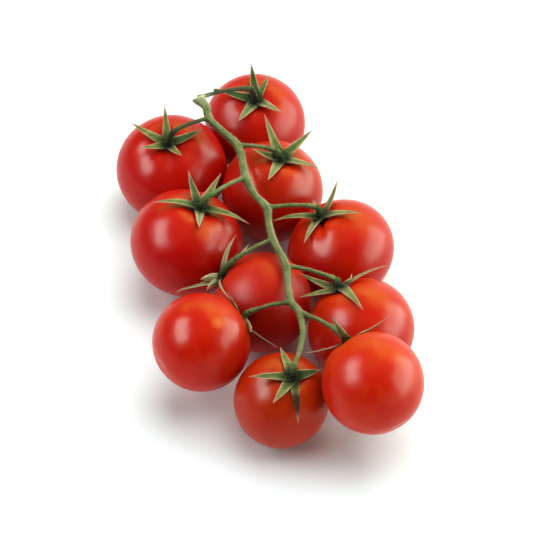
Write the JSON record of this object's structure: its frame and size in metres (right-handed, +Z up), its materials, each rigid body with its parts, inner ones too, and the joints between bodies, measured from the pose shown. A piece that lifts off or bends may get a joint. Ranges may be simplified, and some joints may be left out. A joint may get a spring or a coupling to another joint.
{
  "type": "truss of tomatoes",
  "caption": "Cocktail tomatoes on the vine: round glossy fruits with star-shaped green calyxes, on one branching stem laid on a table.",
  "frame": {"origin": "point where the middle fruit, fruit_06, touches the table", "axes": "+Z up from the table, +Y along the truss towards the cut end of its stem, +X to the right of it"},
  "size_m": [0.1076, 0.1736, 0.0517],
  "materials": {
    "tomato_skin": "glossy ripe red tomato skin, smooth and slightly translucent",
    "truss_green": "matt mid-green stem and sepals with fine short hairs"
  },
  "bodies": {
    "root": {"fruit_01": "tomato_skin", "fruit_02": "tomato_skin", "fruit_03": "tomato_skin", "fruit_04": "tomato_skin", "fruit_05": "tomato_skin", "fruit_06": "tomato_skin", "fruit_07": "tomato_skin", "fruit_08": "tomato_skin", "fruit_09": "tomato_skin", "fruit_10": "tomato_skin", "calyx_01": "truss_green", "calyx_02": "truss_green", "calyx_03": "truss_green", "calyx_04": "truss_green", "calyx_05": "truss_green", "calyx_06": "truss_green", "calyx_07": "truss_green", "calyx_08": "truss_green", "calyx_09": "truss_green", "calyx_10": "truss_green", "stem": "truss_green"}
  },
  "joints": []
}
